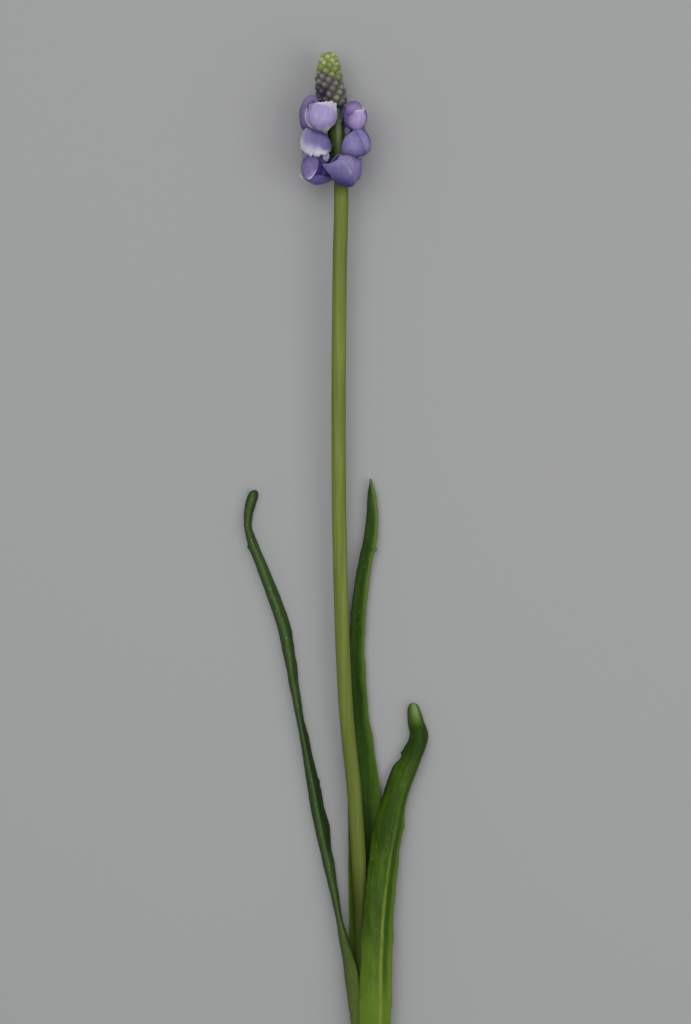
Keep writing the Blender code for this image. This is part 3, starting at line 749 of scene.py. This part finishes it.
def bud_cone(name, core, buds, count, size, before):
    """A core with count buds on it in spirals. core and buds are the first and last y of each.

    before is how many buds lie below it, so that the spirals run on."""
    rings = 8
    rod = raise_tube("core", 24, rings)

    def place(turn, share):
        y = core[0] + (core[1] - core[0]) * share
        x, z, radius = follow(BUD_CONE, y)
        radius -= CORE_INSET
        return x - CONE_SHIFT + radius * math.cos(turn), y, z + radius * math.sin(turn)

    shape_tube(rod, rings, place, lambda turn, share: (0.5, 0.5))
    pattern = one_bud()
    pieces = [rod]
    for n in range(count):
        y = buds[0] + (buds[1] - buds[0]) * n / (count - 1)
        x, z, radius = follow(BUD_CONE, y)
        a = (before + n) * GOLDEN_ANGLE
        out = Vector((math.sin(a), 0.0, math.cos(a)))
        uneven = noise.noise(Vector((n * 1.7, 0, 0)))
        middle = Vector((x - CONE_SHIFT, y - 0.15 + 0.2 * uneven, z))
        middle += out * (radius - size * 0.75 - BUD_SINK)
        grown = size * (1.06 + 0.14 * uneven)
        way = (out + Vector((0, BUD_LEAN, 0))).to_track_quat("Z", "Y")
        bud = pattern.copy()
        bud.data = pattern.data.copy()
        bpy.context.scene.collection.objects.link(bud)
        for point in bud.data.vertices:
            point.co = (middle + way @ (point.co * grown)) * MM + FOOT
        pieces.append(bud)
    bpy.data.objects.remove(pattern)
    made = join(name, pieces)
    face_outwards(made, 50)
    return made


CLOSED_BUD_COUNT = 56
closed_buds = bud_cone(
    "bud_cone", core=(257.5, 267.9), buds=(258.2, 268.5), count=CLOSED_BUD_COUNT, size=1.15, before=0
)


def bud_paint(name):
    """Matt bud skin, with how far up its bud a spot lies and two kinds of mottling as values."""
    paint = Paint(name, 0.65, 0.12)
    sheet = paint.node("UVMap", {"uv_map": "surface"})
    crest = paint.node("SeparateXYZ", None, {0: sheet}, 1)
    mottle = paint.speckle(700.0, 3.0)
    patch = paint.speckle(240.0, 1.0)
    paint.bump(mottle, 0.00008, 0.4)
    return paint, crest, mottle, patch


def closed_bud_skin():
    paint, crest, mottle, patch = bud_paint("bud_grey_violet_skin")
    across = paint.node("SeparateXYZ", None, {0: paint.place}, "X")
    along = paint.node("SeparateXYZ", None, {0: paint.place}, "Y")
    # The lower buds on the left side are painted dark grey violet: their own violet together with
    # painted shade on the side turned from the light, which also dims their pale tips.
    violet = paint.between(along * -1.0 + (patch - 0.5) * 0.004, -0.1285, -0.1250)
    leftward = paint.between(across * -1.0 + (patch - 0.5) * 0.003, -0.0002, 0.0024)
    body = paint.mix(violet * leftward, linear(86, 84, 80), linear(50, 44, 58))
    body = paint.mix(paint.between(mottle, 0.5, 0.8) * 0.4, body, linear(112, 106, 110))
    streak = paint.between(across + (patch - 0.5) * 0.003, -0.0008, 0.0002)
    streak = streak * (1.0 - paint.between(across + (patch - 0.5) * 0.003, 0.0010, 0.0022))
    body = paint.mix(streak * 0.6, body, linear(88, 92, 58))
    tops = paint.between(crest + (mottle - 0.5) * 0.5, 0.76, 1.06)
    body = paint.mix(tops * (0.6 - violet * leftward * 0.35), body, linear(142, 140, 134))
    young = paint.between(along + across * 0.2 + (patch - 0.5) * 0.004, 0.1284, 0.1302)
    body = paint.mix(young, body, paint.mix(tops * 0.7, linear(106, 116, 68), linear(144, 152, 104)))
    paint.end("Base Color", body)
    return paint.material


closed_buds.data.materials.append(closed_bud_skin())
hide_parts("closed_buds")
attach(closed_buds, "root")


# Tip buds
# The youngest buds crown the flower. They are the same closed buds, smaller, and still lime green
# because they have not coloured yet.
tip_buds = bud_cone(
    "bud_crown", core=(268.2, 271.5), buds=(268.4, 271.6), count=17, size=1.0, before=CLOSED_BUD_COUNT
)


def tip_bud_skin():
    paint, crest, mottle, _patch = bud_paint("bud_lime_skin")
    across = paint.node("SeparateXYZ", None, {0: paint.place}, "X")
    body = paint.mix(paint.between(mottle, 0.4, 0.75), linear(130, 142, 84), linear(150, 160, 106))
    shade = paint.between(across, -0.0008, 0.0012)
    body = paint.mix(shade * 0.6, body, linear(104, 114, 64))
    tops = paint.between(crest + (mottle - 0.5) * 0.4, 0.78, 1.04)
    body = paint.mix(tops * 0.6, body, linear(176, 182, 136))
    paint.end("Base Color", body)
    return paint.material


tip_buds.data.materials.append(tip_bud_skin())
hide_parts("tip_buds")
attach(tip_buds, "root")


# Left leaf
# A narrow leaf folded along its keel, which leans out to the left and hooks at its tip. It is fleshy,
# mid green and faintly glossy, with painted shade along its edges and a painted highlight down its
# keel, and was cut off together with the stalk.
LEFT_MIDRIB = (
    (0.0, 4.3, 5.45),
    (24.0, 2.6, 5.75),
    (39.0, -0.4, 4.8),
    (56.5, -3.8, 3.9),
    (74.0, -7.2, 3.7),
    (99.5, -12.2, 3.6),
    (117.0, -15.3, 3.7),
    (134.0, -21.4, 3.6),
    (139.5, -23.6, 3.4),
    (144.0, -25.0, 3.2),
    (148.0, -24.8, 2.9),
    (151.5, -23.9, 2.7),
    (154.2, -23.2, 2.5),
)
LEFT_WEST_HALF = (
    (0.0, 0.3, 2.4),
    (24.0, 1.8, 3.2),
    (39.0, 1.2, 3.7),
    (65.0, 2.2, 3.5),
    (91.0, 1.3, 3.2),
    (117.0, 2.0, 3.4),
    (134.0, 1.8, 3.3),
    (139.5, 1.7, 3.1),
    (144.0, 1.2, 2.9),
    (148.0, 1.5, 2.6),
    (151.5, 1.7, 2.2),
    (154.2, 1.2, 1.6),
)
LEFT_EAST_HALF = (
    (0.0, 2.2, -1.1),
    (24.0, 2.3, -0.75),
    (33.0, 1.3, 1.4),
    (42.0, 1.2, 2.6),
    (65.0, 2.2, 3.5),
    (91.0, 1.3, 3.2),
    (117.0, 2.1, 3.4),
    (134.0, 1.8, 3.3),
    (139.5, 1.5, 3.1),
    (144.0, 1.3, 2.9),
    (148.0, 1.5, 2.6),
    (151.5, 1.6, 2.2),
    (154.2, 1.1, 1.6),
)
RIB_THICKNESS = 1.05
EDGE_THICKNESS = 0.75
LEAST_THICKNESS_SHARE = 0.25
TIP_ROUNDING = 0.9
BARB_REACH = 0.5
BLADE_SIDES = 56
BLADE_RINGS = 260


def ruffle(y, seed):
    """How far out of line a leaf's edge is at y, from -1 to 1: long bends with short ones on them."""
    bends = noise.noise(Vector((y / 6.0, seed + 1.0, 0)))
    nicks = noise.noise(Vector((y / 2.3, seed, 0)))
    return bends + 0.55 * nicks * (0.5 + 2 * abs(noise.noise(Vector((y / 17.0, seed + 2.0, 0)))))


def blade(name, midrib, west_half, east_half, keel_up, wave, crinkle, barbs):
    """A channelled leaf blade with round edges, from its cut end to its closed tip.

    wave is how high its edges rise at y, and crinkle how ruffled the west and the east edge are.
    barbs are where along it a small torn point sits and how far it sticks out, west then east."""
    length = midrib[-1][0]
    inward = -1.0 if keel_up else 1.0
    made = raise_tube(name, BLADE_SIDES, BLADE_RINGS)

    def place(turn, share):
        y = length * (1 - (1 - share) ** 1.15)
        x, z = follow(midrib, y)
        west_reach, west_drop = follow(west_half, y)
        east_reach, east_drop = follow(east_half, y)
        left = length - y
        close = math.sqrt(max(0.0, 1 - max(0.0, 1 - left / TIP_ROUNDING) ** 2))
        barb_west, barb_east = [out * math.exp(-(((y - at) / BARB_REACH) ** 2)) for at, out in barbs]
        ruffle_west = crinkle[0] * ruffle(y, 3.0) + barb_west
        ruffle_east = crinkle[1] * ruffle(y, 8.0) + barb_east
        west = Vector((x - west_reach * close - ruffle_west, z - west_drop * close + wave(y)))
        east = Vector((x + east_reach * close + ruffle_east, z - east_drop * close + wave(length - y)))
        middle = Vector((x, z))
        u = math.cos(turn)
        chord = (east - west) / 2
        bow = (west + east) / 2 - middle
        spot = middle + chord * u + bow * u * u
        slope = chord + bow * (2 * u)
        normal = Vector((-slope.y, slope.x)).normalized() * inward
        thick = EDGE_THICKNESS + (RIB_THICKNESS - EDGE_THICKNESS) * (1 - u * u)
        thick *= max(close, LEAST_THICKNESS_SHARE)
        side = math.sin(turn)
        face = math.copysign(abs(side) ** 0.4, side)
        depth = thick * (0.5 - 0.5 * face)
        spot = spot + normal * depth
        return spot.x, y, max(spot.y, 0.0)

    shape_tube(made, BLADE_RINGS, place, lambda turn, share: (0.5 + 0.5 * math.cos(turn), share))
    face_outwards(made, 70)
    return made


def wavy(height, length, phase):
    """A wave of that height and length, as a rise for every y."""
    return lambda y: height * math.sin(2 * math.pi * y / length + phase)


def blade_paint(name, dark, mid, light):
    """Green leaf skin with fine lengthwise ribs, and its across, along and patches as values."""
    paint = Paint(name, 0.5, 0.1)
    sheet = paint.node("UVMap", {"uv_map": "surface"})
    across = paint.node("SeparateXYZ", None, {0: sheet}, 0)
    along = paint.node("SeparateXYZ", None, {0: sheet}, 1)
    drawn = paint.node("Mapping", None, {"Vector": sheet, "Scale": (26.0, 7.0, 1.0)})
    ribs = paint.node("TexNoise", None, {"Vector": drawn, "Scale": 1.0, "Detail": 3.0})
    blotches = paint.speckle(130.0, 4.0, (1.0, 0.35, 1.0))
    patches = paint.speckle(420.0, 3.0, (1.0, 0.45, 1.0))
    body = paint.mix(paint.between(blotches + (ribs - 0.5) * 0.8, 0.3, 0.72), dark, mid)
    body = paint.mix(paint.between(patches, 0.48, 0.66) * 0.65, body, dark)
    glints = paint.between(paint.speckle(1500.0, 1.0, (1.0, 0.6, 1.0)), 0.64, 0.78)
    body = paint.mix(glints * 0.32, body, light)
    paint.bump(ribs + patches * 0.8, 0.00030, 0.7)
    return paint, body, across, along, patches


def strip(paint, across, middle, spread):
    """1 along a lengthwise line of a blade, fading to 0 at spread to each side."""
    away = paint.node("Math", {"operation": "ABSOLUTE"}, {0: across - middle})
    return 1.0 - paint.between(away, spread * 0.25, spread)


left_leaf = blade(
    "blade_left",
    LEFT_MIDRIB,
    LEFT_WEST_HALF,
    LEFT_EAST_HALF,
    True,
    wavy(0.15, 15, 0.4),
    (0.22, 0.36),
    ((138.6, 0.5), (75.3, 0.35)),
)


def left_leaf_green():
    paint, body, across, along, patches = blade_paint(
        "leaf_left_skin", linear(36, 58, 18), linear(54, 78, 28), linear(106, 128, 88)
    )
    # Painted highlight down the middle of the folded blade, along its keel.
    middle = strip(paint, across + (patches - 0.5) * 0.4, 0.44, 0.26)
    body = paint.mix(middle * 0.5, body, linear(80, 102, 54))
    # Painted highlights: small bright sparkles along the middle of the blade.
    sparkle_highlights = paint.between(paint.speckle(2100.0, 1.0, (1.0, 0.5, 1.0)), 0.62, 0.74)
    body = paint.mix(sparkle_highlights * strip(paint, across, 0.45, 0.3) * 0.6, body, linear(128, 146, 112))
    # Painted shade: the half of the blade folded over beyond the keel is darkened along part of its
    # length.
    fold = paint.between(across, 0.46, 0.56) * paint.between(along, 0.30, 0.34)
    fold = fold * (1.0 - paint.between(along, 0.52, 0.60))
    body = paint.mix(fold * 0.9, body, linear(20, 44, 6))
    # Painted shade: both edges darker where the folded blade turns away from the light.
    edge = strip(paint, across, 0.0, 0.16) + strip(paint, across, 1.0, 0.2)
    body = paint.mix(edge * 0.6, body, linear(24, 38, 18))
    tip = paint.between(along, 0.985, 0.999)
    body = paint.mix(tip * 0.7, body, linear(26, 40, 20))
    foot = 1.0 - paint.between(along, 0.03, 0.30)
    body = paint.mix(foot * 0.8, body, linear(88, 100, 38))
    paint.end("Base Color", body)
    return paint.material


left_leaf.data.materials.append(left_leaf_green())
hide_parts("leaf_left")
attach(left_leaf, "root")


# Back leaf
# A long leaf with a shallow channel that runs up behind the stalk to a sharp point. It is deep green
# in its channel, with painted light along its right edge, where the light catches it, and on its lower
# left part beside the stalk.
BACK_MIDRIB = (
    (0.0, 7.5, -0.3),
    (36.0, 7.2, -0.3),
    (70.5, 6.6, -0.3),
    (97.5, 5.0, -0.2),
    (114.0, 4.6, 0.2),
    (130.0, 6.0, 0.6),
    (145.0, 8.6, 1.0),
    (157.2, 8.3, 1.2),
)
BACK_WEST_HALF = (
    (0.0, 4.3, -1.8),
    (31.0, 4.9, -2.2),
    (46.0, 5.0, -2.9),
    (62.0, 4.9, -2.8),
    (75.0, 4.4, -2.1),
    (97.5, 2.7, -1.5),
    (130.0, 2.1, -1.6),
    (145.0, 1.9, -1.2),
    (152.0, 1.3, -0.8),
    (157.2, 0.4, -0.2),
)
BACK_EAST_HALF = (
    (0.0, 4.3, -1.6),
    (36.0, 5.1, -1.8),
    (70.5, 4.7, -2.2),
    (81.5, 3.8, -2.2),
    (97.5, 2.6, -2.0),
    (130.0, 2.2, -1.6),
    (145.0, 1.9, -1.1),
    (152.0, 1.4, -0.7),
    (157.2, 0.4, -0.2),
)
back_leaf = blade(
    "blade_back",
    BACK_MIDRIB,
    BACK_WEST_HALF,
    BACK_EAST_HALF,
    False,
    wavy(0.2, 19, 1.1),
    (0.18, 0.34),
    ((121.0, 0.3), (138.0, 0.8)),
)


def back_leaf_green():
    paint, body, across, along, patches = blade_paint(
        "leaf_back_skin", linear(28, 52, 3), linear(42, 68, 8), linear(96, 122, 62)
    )
    # Painted light: the right side of the blade and a paler line along its right edge are lighter
    # where the light catches them.
    lit_right_side = paint.between(across + (patches - 0.5) * 0.3, 0.66, 0.95)
    body = paint.mix(lit_right_side * 0.75, body, linear(72, 100, 30))
    pale = strip(paint, across, 0.94, 0.09) * paint.between(along, 0.42, 0.7)
    body = paint.mix(pale * 0.45, body, linear(100, 124, 66))
    tip = paint.between(along, 0.88, 1.0)
    body = paint.mix(tip * strip(paint, across, 0.6, 0.5) * 0.7, body, linear(92, 118, 68))
    # Painted light: the lower part of the left side, beside the stalk, is painted a lighter green so
    # that it reads as lit.
    shoulder = 1.0 - paint.between(across + (patches - 0.5) * 0.1, 0.10, 0.3)
    shoulder = shoulder * (1.0 - paint.between(along, 0.42, 0.5))
    body = paint.mix(shoulder * 0.9, body, linear(66, 86, 24))
    edge = strip(paint, across, 0.0, 0.08) * paint.between(along, 0.45, 0.55)
    body = paint.mix(edge * 0.6, body, linear(26, 42, 16))
    paint.end("Base Color", body)
    return paint.material


back_leaf.data.materials.append(back_leaf_green())
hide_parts("leaf_back")
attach(back_leaf, "root")


# Front leaf
# The broadest leaf stands in front of the stalk, with a pale keel and a bent, blunt tip. It is
# ribbed lengthwise, bright green near its foot, darker above and pale again at the bend.
FRONT_MIDRIB = (
    (0.0, 10.0, 9.3),
    (27.0, 10.2, 9.3),
    (43.0, 11.2, 8.7),
    (56.0, 13.0, 7.5),
    (71.0, 16.2, 5.9),
    (79.0, 19.4, 5.1),
    (84.0, 21.3, 4.8),
    (88.0, 21.6, 4.4),
    (92.0, 20.8, 3.7),
    (96.6, 19.8, 2.9),
)
FRONT_WEST_HALF = (
    (0.0, 5.1, 1.6),
    (27.0, 4.9, 1.6),
    (39.5, 4.8, 1.7),
    (51.0, 4.9, 2.0),
    (61.0, 5.5, 2.4),
    (71.0, 5.1, 2.4),
    (79.0, 5.4, 3.0),
    (81.8, 4.3, 3.0),
    (84.2, 4.4, 3.3),
    (86.5, 3.2, 2.9),
    (90.0, 2.9, 2.7),
    (93.5, 2.4, 2.3),
    (96.6, 1.2, 1.5),
)
FRONT_EAST_HALF = (
    (0.0, 3.1, 4.0),
    (20.0, 4.2, 4.2),
    (39.5, 3.9, 4.3),
    (56.5, 3.4, 4.3),
    (71.0, 2.4, 3.9),
    (79.0, 1.9, 3.6),
    (84.0, 1.9, 3.5),
    (88.0, 2.3, 3.3),
    (92.0, 2.1, 2.7),
    (94.5, 1.7, 2.1),
    (96.6, 1.0, 1.5),
)
front_leaf = blade(
    "blade_front",
    FRONT_MIDRIB,
    FRONT_WEST_HALF,
    FRONT_EAST_HALF,
    True,
    wavy(0.2, 17, 2.0),
    (0.42, 0.34),
    ((83.0, 0.4), (63.0, 0.2)),
)


def front_leaf_green():
    paint, body, across, along, patches = blade_paint(
        "leaf_front_skin", linear(38, 62, 4), linear(60, 86, 12), linear(108, 130, 58)
    )
    low = 1.0 - paint.between(along + (patches - 0.5) * 0.3, 0.05, 0.50)
    body = paint.mix(low * 0.7, body, linear(94, 120, 34))
    sunny = strip(paint, across, 0.95, 0.2) * (1.0 - paint.between(along, 0.7, 0.85))
    body = paint.mix(sunny * 0.5, body, linear(104, 130, 40))
    wander = across + (patches - 0.5) * 0.07
    rib = strip(paint, wander, 0.60, 0.075) * (1.0 - paint.between(along, 0.28, 0.75))
    rib = rib * paint.between(patches, 0.25, 0.6)
    body = paint.mix(rib * 0.7, body, linear(122, 134, 56))
    # Painted shade: a dark lengthwise groove line beside the pale rib.
    groove_shade = strip(paint, wander, 0.71, 0.10) * paint.between(along, 0.12, 0.25)
    groove_shade = groove_shade * (1.0 - paint.between(along, 0.75, 0.9))
    body = paint.mix(groove_shade * 0.7, body, linear(44, 70, 2))
    kink = paint.between(along, 0.76, 0.84) * (1.0 - paint.between(along, 0.89, 0.93))
    body = paint.mix(kink * 0.75, body, linear(30, 52, 8))
    tip = paint.between(along + (patches - 0.5) * 0.04, 0.90, 0.975)
    body = paint.mix(tip * strip(paint, across, 0.5, 0.45) * 0.8, body, linear(118, 142, 82))
    # Painted shade: the upper left and right edges are darkened where the bending blade turns from the
    # light.
    edge = strip(paint, across, 0.0, 0.08) * paint.between(along, 0.6, 0.72)
    edge = edge + strip(paint, across, 1.0, 0.12) * paint.between(along, 0.72, 0.82)
    body = paint.mix(edge * 0.85, body, linear(28, 42, 26))
    paint.end("Base Color", body)
    return paint.material


front_leaf.data.materials.append(front_leaf_green())
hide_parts("leaf_front")
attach(front_leaf, "root")
